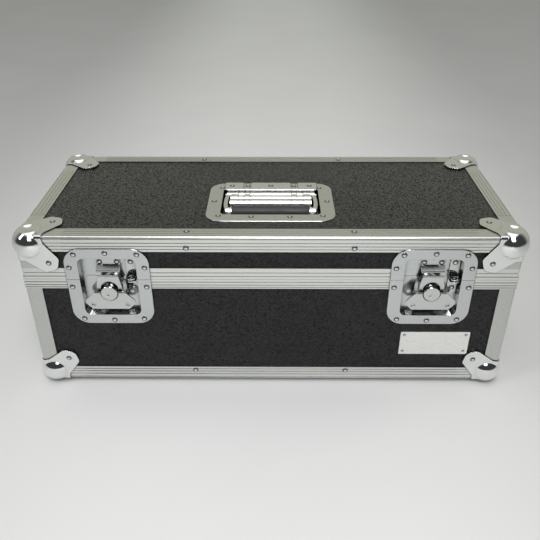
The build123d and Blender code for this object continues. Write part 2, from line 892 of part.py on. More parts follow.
def handle_arm():
    """Right-hand arm of the bail, bowed outwards between the axle and the grip."""
    inner, outer = knuckle_ends[-1], knuckle_ends[-1] + arm_width
    middle = (axle_back + grip_y) / 2
    lines = (
        ThreePointArc((inner, axle_back), (inner + arm_bow, middle), (inner, grip_y))
        + Line((inner, grip_y), (outer, grip_y))
        + ThreePointArc((outer, grip_y), (outer + arm_bow, middle), (outer, axle_back))
        + Line((outer, axle_back), (inner, axle_back))
    )
    low = min(-axle_drop, grip_z) - arm_height / 2
    arm = Pos(0, 0, low) * extrude(make_face(lines), arm_height)
    arm += rod((inner, axle_back, -axle_drop), (outer, axle_back, -axle_drop), barrel_radius)
    start = grip_half + grip_boss_gap
    return arm + rod((start, grip_y, grip_z), (start + grip_boss_length, grip_y, grip_z), grip_boss)


def handle_bail():
    """Bail: barrels round the axle, a beaded web, two arms and the core of the grip."""
    end = knuckle_ends[-1]
    web_top = -axle_drop + web_bead_rise - web_top_drop
    web_low = web_top - web_sheet
    clear = barrel_radius + web_axle_gap
    body = block((-end, end), (axle_back - web_front, axle_back - clear), (web_low, web_top))
    groove_wide, groove_deep = web_groove
    for place, radius in web_beads:
        bead = rod((-end, axle_back - place, web_low), (end, axle_back - place, web_low), radius)
        crown = web_low + radius
        bead &= block((-end, end), (-handle_length, handle_length), (web_low, crown))
        for x in (side * step for side in (-1, 1) for step in knuckle_ends[:-1]):
            span = (x - groove_wide / 2, x + groove_wide / 2)
            bead -= block(span, (-handle_length, handle_length), (crown - groove_deep, crown))
        body += bead
    for low, high in bail_spans():
        body += rod((low, axle_back, -axle_drop), (high, axle_back, -axle_drop), barrel_radius)
        body += block((low, high), (axle_back - clear - past, axle_back), (web_low, web_top))
    for arm in both_sides(handle_arm()):
        body += arm
    body += rod((-end, grip_y, grip_z), (end, grip_y, grip_z), grip_core)
    return body - axle_bore(axle_radius + running_play)


def handle_grip():
    """Rubber grip over the core of the bail."""
    ends = [(side * grip_half, grip_y, grip_z) for side in (-1, 1)]
    body = rod(*ends, grip_radius)
    body = fillet(body.edges().filter_by(GeomType.CIRCLE), grip_edge)
    return body - rod(*ends, grip_core)


# Back hinges


def knuckle_spans(odd):
    """Stretches of one back hinge that the base's barrels take, or the lid's where odd."""
    pitch = hinge_width / hinge_knuckles
    start = -hinge_width / 2
    spans = []
    for index in range(hinge_knuckles):
        if index % 2 == odd:
            low = start + index * pitch + (moving_play / 2 if index else 0)
            high = start + (index + 1) * pitch
            high -= moving_play / 2 if index < hinge_knuckles - 1 else 0
            spans.append((low, high))
    return spans


def hinge_half(place, up):
    """One leaf and its barrels. The leaf lies on the back of the shell, above the pin where up is 1."""
    clear = hinge_barrel + moving_play
    near, far = sorted((seam + up * clear, seam + up * hinge_leaf))
    x = (place - hinge_width / 2, place + hinge_width / 2)
    body = block(x, (back, back + hinge_leaf_sheet), (near, far))
    web_y = (back + hinge_web_gap, back + hinge_web_gap + hinge_leaf_sheet)
    web_z = tuple(sorted((seam + up * (hinge_barrel / 2), seam + up * (clear + past))))
    for low, high in knuckle_spans(0 if up < 0 else 1):
        ends = [(place + x_end, hinge_y, seam) for x_end in (low, high)]
        body += rod(*ends, hinge_barrel)
        body += block((place + low, place + high), web_y, web_z)
    ends = [(place + side * hinge_width, hinge_y, seam) for side in (-1, 1)]
    return body - rod(*ends, hinge_pin + running_play)


def hinge_pins():
    """One pin for each back hinge."""
    half = hinge_width / 2
    spans = [(place - half, place + half) for place in hinge_places]
    return [rod((low, hinge_y, seam), (high, hinge_y, seam), hinge_pin) for low, high in spans]


def hinge_rivets(up):
    """Spots of the rivets of the leaves on one body."""
    spots = []
    for place in hinge_places:
        for offset in (-hinge_rivet_spread, hinge_rivet_spread):
            z = seam + up * hinge_rivet_height
            spots.append(((place + offset, back + hinge_leaf_sheet, z), (0, 1, 0)))
    return spots


# Lining


def base_foam():
    """Floor slab and four walls of the base's lining, pocketed behind the latch dishes."""
    face = panel_inner + foam_play
    low = bottom + face
    high = base_top - rim_inner_leg - foam_play
    x = (left + face, right - face)
    y = (front + face, back - face)
    floor = block(x, y, (low, low + foam_floor))
    z = (low + foam_floor + foam_play, high)
    front_wall = block(x, (y[0], y[0] + foam_front), z)
    pocket = front + pan_depth + dish_sheet + foam_pocket_play
    reach = pan_width / 2 + 2 * dish_sheet + foam_pocket_play
    for place in latch_places.values():
        rise = (latch_height - pan_height, top)
        front_wall -= block((place - reach, place + reach), (front, pocket), rise)
    back_wall = block(x, (y[1] - foam_side, y[1]), z)
    side_y = (y[0] + foam_front + foam_play, y[1] - foam_side - foam_play)
    left_wall = block((x[0], x[0] + foam_side), side_y, z)
    return [floor, front_wall, back_wall] + both_sides(left_wall)


def lid_foam():
    """Slab under the top panel, pocketed below the handle's dish."""
    face = panel_inner + foam_play
    side = slot_inner + inner_sheet + foam_play
    high = top - face
    slab = block((left + side, right - side), (front + side, back - side), (high - foam_lid, high))
    reach_x = handle_pan_width / 2 + dish_sheet + foam_pocket_play
    reach_y = handle_pan_length / 2 + dish_sheet + foam_pocket_play
    deep = handle_z - handle_pan_depth - foam_pocket_play / 2
    return slab - block((-reach_x, reach_x), (handle_y - reach_y, handle_y + reach_y), (deep, top))


# Badge plate


def badge():
    """Bare plate on the front, with a rivet in each corner."""
    x, z = badge_place
    face = front + panel_inset
    plate = block(
        (x - badge_width / 2, x + badge_width / 2),
        (face - badge_sheet, face),
        (z - badge_height / 2, z + badge_height / 2),
    )
    return fillet(plate.edges().filter_by(Axis.Y), badge_corner)


def badge_rivets():
    """Spots of the badge plate's rivets."""
    x, z = badge_place
    dx, dz = badge_width / 2 - badge_margin, badge_height / 2 - badge_margin
    y = front + panel_inset - badge_sheet
    return [((x + i * dx, y, z + j * dz), (0, -1, 0)) for i in (-1, 1) for j in (-1, 1)]


# Rivets of the edge profiles


def edge_rivets(upper):
    """Spots on the bottom or top profiles: on both legs at the front and back, on the walls at the sides."""
    level, look = (top, 1) if upper else (bottom, -1)
    on_wall = level - look * edge_rivet_wall
    on_flat = edge_rivet_flat
    spots = []
    for x in (-edge_rivet_place, edge_rivet_place):
        spots.append(((x, front, on_wall), (0, -1, 0)))
        spots.append(((x, back, on_wall), (0, 1, 0)))
        spots.append(((x, front + on_flat, level), (0, 0, look)))
        spots.append(((x, back - on_flat, level), (0, 0, look)))
    for side, place in ((-1, left), (1, right)):
        spots.append(((place, 0, on_wall), (side, 0, 0)))
    return spots


def main():
    """Builds every piece and writes one file for each."""
    parts = {}
    through = panel_thickness + edge_sheet - rivet_grip_short

    corner_blanks = {
        body: Pos(left, front, bottom) * ball_corner_blank(stacking=body == "lid") for body in ("base", "lid")
    }
    reach = (-past, corner_reach)
    clearance = block(reach, reach, reach) - corner_core(-corner_play)
    corner_void = Pos(left, front, bottom) * clearance
    places = corner_places()
    voids = {
        body: [carry(corner_void, signs) for name, signs in places.items() if name.startswith(body)]
        for body in ("base", "lid")
    }

    spots = {"base": [], "lid": []}
    floor_spots = {"base": [], "lid": []}
    for name, signs in places.items():
        body = name.split("_")[0]
        for spot, look in corner_rivet_spots(signs):
            spots[body].append((spot, look, through + corner_sheet))
    for body, upper in (("base", False), ("lid", True)):
        for spot, look in edge_rivets(upper):
            spots[body].append((spot, look, through))
        for spot, look in hinge_rivets(1 if upper else -1):
            spots[body].append((spot, look, through + hinge_leaf_sheet))
        for place in latch_places.values():
            flange, inside = latch_rivets(place, upper)
            spots[body] += [(spot, look, through + dish_sheet) for spot, look in flange]
            floor_spots[body] += [(spot, look, lug_sheet + dish_sheet) for spot, look in inside]
    flange_grip = panel_thickness + dish_sheet - rivet_grip_short
    for x, y in handle_rivet_places():
        spots["lid"].append(((x, handle_y + y, handle_z + dish_sheet), (0, 0, 1), flange_grip))
    tab_y = handle_y + hinge_wall + tab_rivet_place
    for x in tab_rivets:
        spot = (x, tab_y, handle_z + dish_sheet + hinge_sheet)
        spots["lid"].append((spot, (0, 0, 1), flange_grip + hinge_sheet))

    holes = {}
    for body in ("base", "lid"):
        holes[body] = [rivet_hole(*spot) for spot in spots[body] + floor_spots[body]]
        shapes = [rivet(*spot) for spot in spots[body]]
        shapes += [rivet(*spot, tail=True) for spot in floor_spots[body]]
        parts[f"{body}_rivets"] = shapes
    for spot, look in badge_rivets():
        grip = badge_sheet + panel_thickness - badge_rivet_short
        parts["base_rivets"].append(rivet(spot, look, grip, badge_rivet, badge_rivet_rise))
        holes["base"].append(rivet_hole(spot, look, grip))

    openings = []
    opening = dish_opening((pan_width, pan_height), pan_corner, 2 * pan_depth)
    face = Plane(origin=(0, front - past, latch_height), x_dir=(1, 0, 0), z_dir=(0, -1, 0))
    for place in latch_places.values():
        openings.append(Pos(place, 0, 0) * (face * opening))
    handle_pan = (handle_pan_width, handle_pan_length)
    handle_opening = dish_opening(handle_pan, handle_pan_corner, 2 * handle_pan_depth)
    openings.append(Pos(0, handle_y, handle_z + past) * handle_opening)

    for name, signs in places.items():
        corner = carry(corner_blanks[name.split("_")[0]], signs)
        parts[name] = cut(corner, holes[name.split("_")[0]])

    def shell_piece(name, shape):
        """Adds a piece of the shell with its corners, dishes and rivet holes cut out."""
        body = name.split("_")[0]
        parts[name] = cut(cut(cut(shape, openings), voids[body]), holes[body])

    for side in ("front", "back", "left", "right"):
        base_edge = run_profile(double_angle(), side, bottom, 1)
        lid_edge = run_profile(double_angle(), side, top, -1)
        base_rim = run_profile(base_rim_section(), side, base_top, -1)
        lid_rim = run_profile(lid_rim_section(), side, lid_bottom, 1)
        for name, shape in (
            ("base_edge", base_edge),
            ("lid_edge", lid_edge),
            ("base_rim", base_rim),
            ("lid_rim", lid_rim),
        ):
            shell_piece(f"{name}_{side}", shape)
    for body, low, high in (
        ("base", bottom + edge_leg + mitre_play, base_top - base_rim_leg - mitre_play),
        ("lid", lid_bottom + lid_rim_leg + mitre_play, top - edge_leg - mitre_play),
    ):
        angles = corner_angles(low, high)
        parts[f"{body}_corner_angles"] = [cut(cut(shape, voids[body]), holes[body]) for shape in angles]
    base_low = bottom + wall_start
    base_high = base_top - edge_sheet - mitre_play
    for side, panel in wall_panels(base_low, base_high).items():
        shell_piece(f"base_{side}_panel", panel)
    lid_low = lid_bottom + groove_height + edge_sheet + mitre_play
    lid_high = top - wall_start
    for side, panel in wall_panels(lid_low, lid_high).items():
        shell_piece(f"lid_{side}_panel", panel)
    shell_piece("base_bottom_panel", flat_panel(bottom + panel_inset, bottom + panel_inner))
    shell_piece("lid_top_panel", flat_panel(top - panel_inner, top - panel_inset))

    for pair in ("base_edge", "lid_edge", "base_rim", "lid_rim"):
        parts[f"{pair}_sides"] = [parts.pop(f"{pair}_left"), parts.pop(f"{pair}_right")]

    keepers, upper_lugs, lower_lugs = [], [], []
    for side, place in latch_places.items():
        seat = Pos(place, front, latch_height)
        parts[f"{side}_latch_upper_dish"] = cut(seat * latch_dish_upper(), holes["lid"])
        parts[f"{side}_latch_lower_dish"] = cut(seat * latch_dish_lower(), holes["base"])
        parts[f"{side}_latch_hub"] = seat * latch_hub()
        parts[f"{side}_latch_hook"] = seat * latch_hook()
        parts[f"{side}_latch_wing"] = seat * latch_wing()
        keepers.append(cut(seat * latch_keeper(), holes["lid"]))
        upper_lugs.append(cut(seat * upper_lug(), holes["lid"]))
        lower_lugs.append(cut(seat * lower_lug(), holes["base"]))
    parts["latch_keepers"] = keepers
    parts["lid_padlock_lugs"] = upper_lugs
    parts["base_padlock_lugs"] = lower_lugs

    seat = Pos(0, handle_y, handle_z)
    parts["handle_dish"] = cut(seat * handle_dish(), holes["lid"])
    parts["handle_hinge_plate"] = cut(seat * handle_hinge_plate(), holes["lid"])
    parts["handle_axle"] = seat * handle_axle()
    parts["handle_spring"] = seat * handle_spring()
    parts["handle_bail"] = seat * handle_bail()
    parts["handle_grip"] = seat * handle_grip()

    parts["base_hinge_leaves"] = [cut(hinge_half(place, -1), holes["base"]) for place in hinge_places]
    parts["lid_hinge_leaves"] = [cut(hinge_half(place, 1), holes["lid"]) for place in hinge_places]
    parts["hinge_pins"] = hinge_pins()
    parts["base_foam"] = base_foam()
    parts["lid_foam"] = lid_foam()
    parts["badge_plate"] = cut(badge(), holes["base"])

    os.makedirs("parts", exist_ok=True)
    for name, shape in parts.items():
        solids = shape if isinstance(shape, list) else [shape]
        solids = [solid for one in solids for solid in one.solids()]
        export_step(Compound(solids) if len(solids) > 1 else solids[0], f"parts/{name}.step")


main()
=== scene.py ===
"""Finishes, foam lining and a plain studio for a record case.

Metres. The case stands on z = 0 with its latches towards -Y, and its pieces ride on the bodies of its frame.
"""

from math import cos, sin

import bpy
import numpy as np
from bpy.props import FloatProperty, FloatVectorProperty, PointerProperty
from bpy.types import Operator, Panel, PropertyGroup
from mathutils import Matrix, Vector


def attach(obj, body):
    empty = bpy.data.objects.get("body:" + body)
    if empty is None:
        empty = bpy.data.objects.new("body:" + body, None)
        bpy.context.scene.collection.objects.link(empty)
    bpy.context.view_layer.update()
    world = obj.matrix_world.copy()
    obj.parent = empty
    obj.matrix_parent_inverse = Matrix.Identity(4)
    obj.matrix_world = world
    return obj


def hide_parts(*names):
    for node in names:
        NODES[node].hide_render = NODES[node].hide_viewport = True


bl_info = {
    "name": "Record Case",
    "version": (1, 0, 0),
    "blender": (4, 5, 0),
    "location": "3D View > Sidebar > Record Case",
    "description": "Finishes, foam lining and studio for a record case",
    "category": "Object",
}

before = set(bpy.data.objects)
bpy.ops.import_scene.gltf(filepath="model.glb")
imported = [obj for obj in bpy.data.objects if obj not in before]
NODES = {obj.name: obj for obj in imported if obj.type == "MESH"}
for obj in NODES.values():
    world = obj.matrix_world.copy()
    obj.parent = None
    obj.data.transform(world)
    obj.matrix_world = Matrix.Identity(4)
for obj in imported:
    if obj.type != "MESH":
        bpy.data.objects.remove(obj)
HALVES = ("base", "lid")
LATCHES = ("left", "right")

# Axis and end of the foam face, in each half, that needs pockets for the backs of the fittings in its panel.
POCKETED_FACES = {"base": (1, 0), "lid": (2, 1)}
POCKET_MARGIN = 0.0006
# Places of a foam grid's lines near an edge, in radii of the edge's round.
EDGE_STEPS = np.array([0.0, 0.3, 0.65, 1.0, 1.6])
# Decimals to which points are rounded before equal ones are merged.
CAD_DECIMALS = 5
FOAM_DECIMALS = 6
TINY = 1e-9

# Places of the sockets that a Mix node has for colours.
MIX_FACTOR, MIX_FIRST, MIX_SECOND, MIX_RESULT = 0, 6, 7, 2
HOLLOW_SAMPLES = 6
EDGE_SAMPLES = 4
# Part of a rivet head's normal along its axis: over this range the painted dark shade at the head's edge turns
# into the bright crown.
RIVET_RIM = (0.86, 0.995)

SENSOR_WIDTH = 36.0  # millimetres, as the lens property has it
LAMP_TARGET = (0.0, 0.0, 0.1)
# Name, property that holds its power, place, size and colour of each lamp.
LAMPS = (
    ("key_lamp", "key_power", (0.12, -1.5, 1.95), (0.8, 1.6), (1.0, 0.99, 0.97)),
    ("fill_lamp", "fill_power", (-1.7, -0.9, 1.7), (0.5, 1.3), (0.97, 0.98, 1.0)),
)
# Parts of a direction along Y over which the room's front turns into its back, and along Z over which its walls
# turn into its ceiling.
ROOM_TURN = (-0.3, 0.4)
ROOM_RISE = (0.82, 0.96)
FLOOR_LINES = 9
# Distances to either side of the middle between which painted shade darkens the floor, and how dark it gets.
FLOOR_FADE = (0.1, 0.75)
FLOOR_SIDE_TONE = 0.62


def colour(name, description, default):
    """A colour property."""
    return FloatVectorProperty(
        name=name, description=description, default=default, subtype="COLOR", min=0, max=1
    )


def length(name, description, default):
    """A length property."""
    return FloatProperty(name=name, description=description, default=default, unit="LENGTH", precision=5)


def share(name, description, default):
    """A property from 0 to 1."""
    return FloatProperty(name=name, description=description, default=default, subtype="FACTOR", min=0, max=1)


def angle(name, description, default):
    """An angle property."""
    return FloatProperty(name=name, description=description, default=default, unit="ROTATION")


def number(name, description, default):
    """A plain number property."""
    return FloatProperty(name=name, description=description, default=default)


def power(name, description, default):
    """A lamp's power property."""
    return FloatProperty(name=name, description=description, default=default, unit="POWER")


class CaseFinishes(PropertyGroup):
    """Colours and textures of the case."""

    laminate_colour: colour("Laminate", "Colour of the laminate on the panels", (0.009, 0.0098, 0.0096))
    laminate_gloss: share("Laminate roughness", "Roughness of the laminate between its grains", 0.36)
    grain_pitch: length("Grain pitch", "Distance between the grains pressed into the laminate", 0.0025)
    grain_depth: length("Grain depth", "Depth of the grain pressed into the laminate", 0.0006)
    # Painted light: these contrasts paint highlight on the grain's ridges and shade in its hollows; the top's
    # is stronger, painted light from above.
    wall_contrast: number("Wall contrast", "Contrast between ridges and hollows of the walls' grain", 1.5)
    wall_shine: share("Wall shine", "Gloss on the ridges of the walls' grain", 0.45)
    top_contrast: number("Top contrast", "Contrast between ridges and hollows of the top's grain", 2.8)
    top_shine: share("Top shine", "Gloss on the ridges of the top's grain, polished by hands", 1.0)
    profile_colour: colour("Profiles", "Colour of the anodised profiles", (0.69, 0.70, 0.68))
    profile_gloss: share("Profile roughness", "Roughness of the anodised profiles", 0.3)
    # Painted shade: the upright profiles take a darker copy of the profiles' colour.
    upright_shade: share("Upright tone", "Brightness of the upright profiles, next to the others", 0.78)
    plate_colour: colour("Plating", "Colour of the bright plated fittings", (0.86, 0.87, 0.87))
    plate_gloss: share("Plating roughness", "Roughness of the bright plated fittings", 0.07)
    latch_tone: share("Latch tone", "Brightness of the latches' moving parts, next to the plating", 0.74)
    hinge_gloss: share("Hinge roughness", "Roughness of the back hinges", 0.15)
    rivet_gloss: share("Rivet roughness", "Roughness of the rivets", 0.12)
    dish_colour: colour("Latch dishes", "Colour of the pressed dishes of the latches", (0.60, 0.62, 0.62))
    handle_colour: colour("Handle dish", "Colour of the pressed dish of the handle", (0.74, 0.75, 0.74))
    dish_gloss: share("Dish roughness", "Roughness of the pressed dishes", 0.17)
    badge_colour: colour("Badge plate", "Colour of the bare badge plate", (0.94, 0.94, 0.92))
    badge_gloss: share("Badge roughness", "Roughness of the badge plate", 0.22)
    spring_colour: colour("Spring", "Colour of the handle's spring", (0.4, 0.4, 0.4))
    spring_gloss: share("Spring roughness", "Roughness of the handle's spring", 0.3)
    grip_colour: colour("Grip", "Colour of the rubber grip", (0.024, 0.025, 0.024))
    edge_wear: length("Edge round", "Radius to which sharp metal edges are rounded in their shading", 0.0005)
    foam_colour: colour("Foam", "Colour of the foam lining", (0.022, 0.022, 0.024))


class CaseLining(PropertyGroup):
    """Shape of the foam lining."""

    edge_round: length("Edge round", "Radius of the foam's cut edges", 0.0016)
    crown: length("Crown", "How far the middle of a foam face stands back from its edges", 0.0003)
    pitch: length("Mesh pitch", "Distance between the lines of the foam's mesh", 0.006)


class CaseStudio(PropertyGroup):
    """Camera, lamps and floor."""

    lens: FloatProperty(name="Lens", description="Focal length of the camera", default=41.465, unit="CAMERA")
    eye: FloatVectorProperty(
        name="Camera place",
        description="Where the camera stands",
        default=(0.005, -0.7517, 0.5825),
        unit="LENGTH",
    )
    pitch: angle("Pitch", "How far the camera looks down", 0.5324)
    yaw: angle("Yaw", "How far the camera turns to the right", -0.0083)
    roll: angle("Roll", "How far the camera leans to its left", -0.0021)
    shift: number("Shift", "Vertical shift of the lens", -0.04403)
    floor_colour: colour("Floor", "Colour of the cloth on the floor", (0.80, 0.805, 0.81))
    front_colour: colour("Room in front", "Light from the front of the room, low down", (0.045, 0.045, 0.047))
    back_colour: colour("Room behind", "Light from the back of the room, low down", (0.42, 0.43, 0.36))
    ceiling_colour: colour("Ceiling", "Light from above", (0.95, 0.96, 0.95))
    ceiling_strength: number("Ceiling strength", "Strength of the ceiling", 1.5)
    key_power: power("Key lamp", "Power of the large lamp", 32.0)
    fill_power: power("Fill lamp", "Power of the second lamp", 9.0)
    floor_size: length("Floor size", "Half the width of the floor", 9.0)


class Value:
    """One shader socket. Sums, differences and products of values add Math nodes to their graph."""

    def __init__(self, graph, socket):
        self.graph = graph
        self.socket = socket

    def __add__(self, other):
        return self.graph.math("ADD", self, other)

    def __radd__(self, other):
        return self.graph.math("ADD", other, self)

    def __sub__(self, other):
        return self.graph.math("SUBTRACT", self, other)

    def __rsub__(self, other):
        return self.graph.math("SUBTRACT", other, self)

    def __mul__(self, other):
        return self.graph.math("MULTIPLY", self, other)

    def __rmul__(self, other):
        return self.graph.math("MULTIPLY", other, self)

    def step(self, low, high):
        """0 below low, 1 above high, and a smooth rise between them."""
        inputs = {"Value": self, "From Min": low, "From Max": high}
        return self.graph.node("ShaderNodeMapRange", {"interpolation_type": "SMOOTHSTEP"}, inputs)


class Graph:
    """The nodes of a material or of the world."""

    def __init__(self, owner):
        owner.use_nodes = True
        self.tree = owner.node_tree
        self.tree.nodes.clear()

    def node(self, kind, settings=None, inputs=None, output=0):
        """Adds a node, sets it up, feeds its inputs, and gives one of its outputs."""
        made = self.tree.nodes.new(kind)
        for name, value in (settings or {}).items():
            setattr(made, name, value)
        for name, value in (inputs or {}).items():
            if isinstance(value, Value):
                self.tree.links.new(value.socket, made.inputs[name])
            else:
                made.inputs[name].default_value = value
        return None if output is None else Value(self, made.outputs[output])

    def math(self, operation, *values):
        """A Math node of that operation on the values."""
        return self.node("ShaderNodeMath", {"operation": operation}, dict(enumerate(values)))

    def axes(self, vector, names):
        """Values of a vector along the named axes."""
        return [self.node("ShaderNodeSeparateXYZ", {}, {0: vector}, axis) for axis in names]


class Finish(Graph):
    """A material, its shader, and the patterns that feed it."""

    def __init__(self, name, constants):
        self.material = bpy.data.materials.new(name)
        super().__init__(self.material)
        self.shader = self.tree.nodes.new("ShaderNodeBsdfPrincipled")
        for socket, value in constants.items():
            self.shader.inputs[socket].default_value = value
        output = self.tree.nodes.new("ShaderNodeOutputMaterial")
        self.tree.links.new(self.shader.outputs[0], output.inputs["Surface"])

    def feed(self, **sockets):
        """Links values to the shader's sockets, named with _ for a space."""
        for name, value in sockets.items():
            self.tree.links.new(value.socket, self.shader.inputs[name.replace("_", " ")])

    def place(self, stretch=(1, 1, 1)):
        """Object coordinates, scaled along each axis."""
        spot = self.node("ShaderNodeTexCoord", output="Object")
        return self.node("ShaderNodeMapping", {}, {"Vector": spot, "Scale": stretch})

    def noise(self, size, detail, stretch=(1, 1, 1), distortion=0.0):
        """Noise with features of that size, in metres, before it is stretched."""
        inputs = {
            "Vector": self.place(stretch),
            "Scale": 1 / size,
            "Detail": detail,
            "Distortion": distortion,
        }
        return self.node("ShaderNodeTexNoise", {}, inputs)

    def cells(self, size, smooth=None):
        """Distance to the middle of the nearest cell, of cells of that size in metres, smoothed if asked."""
        inputs = {"Vector": self.place(), "Scale": 1 / size}
        if smooth is None:
            return self.node("ShaderNodeTexVoronoi", {"feature": "F1"}, inputs)
        return self.node("ShaderNodeTexVoronoi", {"feature": "SMOOTH_F1"}, {**inputs, "Smoothness": smooth})

    def hollows(self, reach):
        """1 in the open, and less in grooves and corners narrower than the reach."""
        inputs = {"Distance": reach}
        return self.node("ShaderNodeAmbientOcclusion", {"samples": HOLLOW_SAMPLES}, inputs, output="AO")

    def tint(self, factor, first, second):
        """Colour between two colours by a factor."""
        inputs = {MIX_FACTOR: factor, MIX_FIRST: (*first, 1), MIX_SECOND: (*second, 1)}
        return self.node("ShaderNodeMix", {"data_type": "RGBA"}, inputs, output=MIX_RESULT)

    def bump(self, height, distance, strength, edge=0.0):
        """Normal of a surface raised by height times distance, with sharp edges rounded to a radius."""
        inputs = {"Height": height, "Distance": distance, "Strength": strength}
        if edge:
            inputs["Normal"] = self.node("ShaderNodeBevel", {"samples": EDGE_SAMPLES}, {"Radius": edge})
        self.feed(Normal=self.node("ShaderNodeBump", {}, inputs))


def darker(shade, factor):
    """A colour times a factor."""
    return tuple(min(1.0, channel * factor) for channel in shade)


def laminate(name, contrast, shine):
    """Black laminate pressed with a leather grain.

    Its height is wandering creases, a pebble of half their pitch and a fine grit. The contrast paints highlight
    on the ridges and shade in the hollows, and the shine is a coat on the ridges.
    """
    look = bpy.context.scene.case_finishes
    finish = Finish(name, {"Specular IOR Level": 0.2, "Coat Roughness": 0.2, "Coat IOR": 1.4})
    pitch, patch = look.grain_pitch, 0.11
    creases = finish.noise(pitch, 2.0, distortion=1.2)
    pebbles = finish.cells(pitch / 2, smooth=0.5)
    grit = finish.noise(pitch / 6, 2.0)
    broad = finish.noise(patch, 3.0)
    height = creases.step(0.3, 0.7) * 0.6 + pebbles * 0.3 + grit * 0.1
    low = 1 - height.step(0.25, 0.65)
    wear = broad.step(0.42, 0.7)
    # Painted light: the contrast paints highlight on the grain's ridges and shade in its hollows.
    ridge, hollow = darker(look.laminate_colour, contrast), darker(look.laminate_colour, 1 / contrast)
    finish.feed(
        Base_Color=finish.tint(low * 0.9 + wear * 0.1, ridge, hollow),
        Roughness=low * 0.2 + wear * 0.05 + look.laminate_gloss,
        Coat_Weight=(1 - low) * shine,
    )
    finish.bump(height, look.grain_depth, 0.8)
    return finish.material


def anodised(name, along, shade):
    """Satin aluminium drawn along one axis: stretched noise for its streaks, with painted shade in its grooves.
    """
    look = bpy.context.scene.case_finishes
    finish = Finish(name, {"Metallic": 1.0})
    streak_width, streak_depth, patch, scuff, groove = 0.0009, 0.00002, 0.05, 0.004, 0.0025
    stretch = [1.0, 1.0, 1.0]
    stretch[along] = 0.012
    streaks = finish.noise(streak_width, 2.0, stretch)
    slow = finish.noise(patch, 2.0)
    scuffs = finish.noise(scuff, 4.0, distortion=1.5).step(0.6, 0.72)
    # Painted shade: Ambient Occlusion darkens the profile's colour in its grooves.
    grooves = 1 - finish.hollows(groove).step(0.65, 0.99)
    tone = grooves * 0.9 - streaks * 0.15 - slow * 0.1 + 0.1
    finish.feed(
        Base_Color=finish.tint(tone, darker(shade, 1.08), darker(shade, 0.25)),
        Roughness=streaks * 0.1 + scuffs * 0.08 + (look.profile_gloss - 0.06),
    )
    finish.bump(streaks, streak_depth, 0.4)
    return finish.material


def plated(name, shade, gloss):
    """Bright plating over pressed steel: waves left by the press, fine scratches, marks and painted shade in
    its hollows.
    """
    look = bpy.context.scene.case_finishes
    finish = Finish(name, {"Metallic": 1.0})
    wave, wave_depth, mark, scratch, hollow = 0.012, 0.00005, 0.006, 0.0007, 0.008
    waves = finish.noise(wave, 1.0)
    marks = finish.noise(mark, 4.0, distortion=1.0).step(0.5, 0.8)
    scratches = finish.noise(scratch, 2.0, (1, 0.06, 1)).step(0.62, 0.7)
    # Painted shade: Ambient Occlusion darkens the plating's colour in pans, corners and behind holes.
    hollow_shade = 1 - finish.hollows(hollow).step(0.35, 0.95)
    finish.feed(
        Base_Color=finish.tint(marks * 0.08 + waves * 0.04 + hollow_shade * 0.85, shade, darker(shade, 0.15)),
        Roughness=marks * 0.06 + scratches * 0.05 + gloss,
    )
    finish.bump(waves + scratches * 0.04, wave_depth, 0.5, look.edge_wear)
    return finish.material


def riveted(shade, gloss):
    """Rivet plating with painted shade round the edge of each head. The part of a normal along the head's axis
    is taken as its largest.
    """
    finish = Finish("rivet_plating", {"Metallic": 1.0})
    normal = finish.node("ShaderNodeTexCoord", output="Normal")
    across, deep, up = (finish.math("ABSOLUTE", part) for part in finish.axes(normal, "XYZ"))
    axial = finish.math("MAXIMUM", across, finish.math("MAXIMUM", deep, up))
    # Painted shade at the edge of each head, which is also rougher there.
    rim = 1 - axial.step(*RIVET_RIM)
    mark = 0.004
    marks = finish.noise(mark, 3.0)
    finish.feed(
        Base_Color=finish.tint(rim * 0.85 + marks * 0.15, shade, darker(shade, 0.1)),
        Roughness=rim * 0.15 + marks * 0.06 + gloss,
    )
    return finish.material


def brushed(name, shade, gloss):
    """Bare sheet brushed along X."""
    finish = Finish(name, {"Metallic": 1.0})
    line_width, line_depth, patch = 0.0006, 0.00003, 0.02
    lines = finish.noise(line_width, 3.0, (0.03, 1, 1))
    slow = finish.noise(patch, 2.0)
    finish.feed(
        Base_Color=finish.tint(lines * 0.6 + slow * 0.3, darker(shade, 0.88), shade),
        Roughness=lines * 0.12 + gloss,
    )
    finish.bump(lines, line_depth, 0.4)
    return finish.material


def rubber():
    """Matt moulded rubber with a fine spark-eroded grain, polished a little by hands."""
    look = bpy.context.scene.case_finishes
    finish = Finish("rubber", {"Specular IOR Level": 0.45})
    grain_size, grain_depth, patch = 0.0007, 0.00008, 0.02
    grain = finish.noise(grain_size, 3.0)
    polish = finish.noise(patch, 2.0).step(0.4, 0.7)
    finish.feed(
        Base_Color=finish.tint(grain, look.grip_colour, darker(look.grip_colour, 1.8)),
        Roughness=grain * 0.12 - polish * 0.12 + 0.5,
    )
    finish.bump(grain, grain_depth, 0.6)
    return finish.material


def foam():
    """Dark open-cell foam: pores from two sizes of cells, with painted shade in the pores, so the cells' walls
    are lighter.
    """
    look = bpy.context.scene.case_finishes
    constants = {"Specular IOR Level": 0.15, "Sheen Weight": 0.25, "Sheen Roughness": 0.5}
    finish = Finish("foam", constants)
    small_pore, large_pore, pore_depth, patch = 0.0013, 0.0034, 0.0006, 0.03
    felt = finish.noise(patch, 3.0)
    height = finish.cells(small_pore) * 0.6 + finish.cells(large_pore) * 0.25
    # Painted shade: darker colour in the pores, lighter at the cells' walls.
    dark, light = darker(look.foam_colour, 0.55), darker(look.foam_colour, 1.7)
    finish.feed(
        Base_Color=finish.tint(height.step(0.15, 0.75) * 0.8 + felt * 0.25, dark, light),
        Roughness=felt * 0.1 + 0.86,
    )
    finish.bump(height, pore_depth, 0.8)
    return finish.material


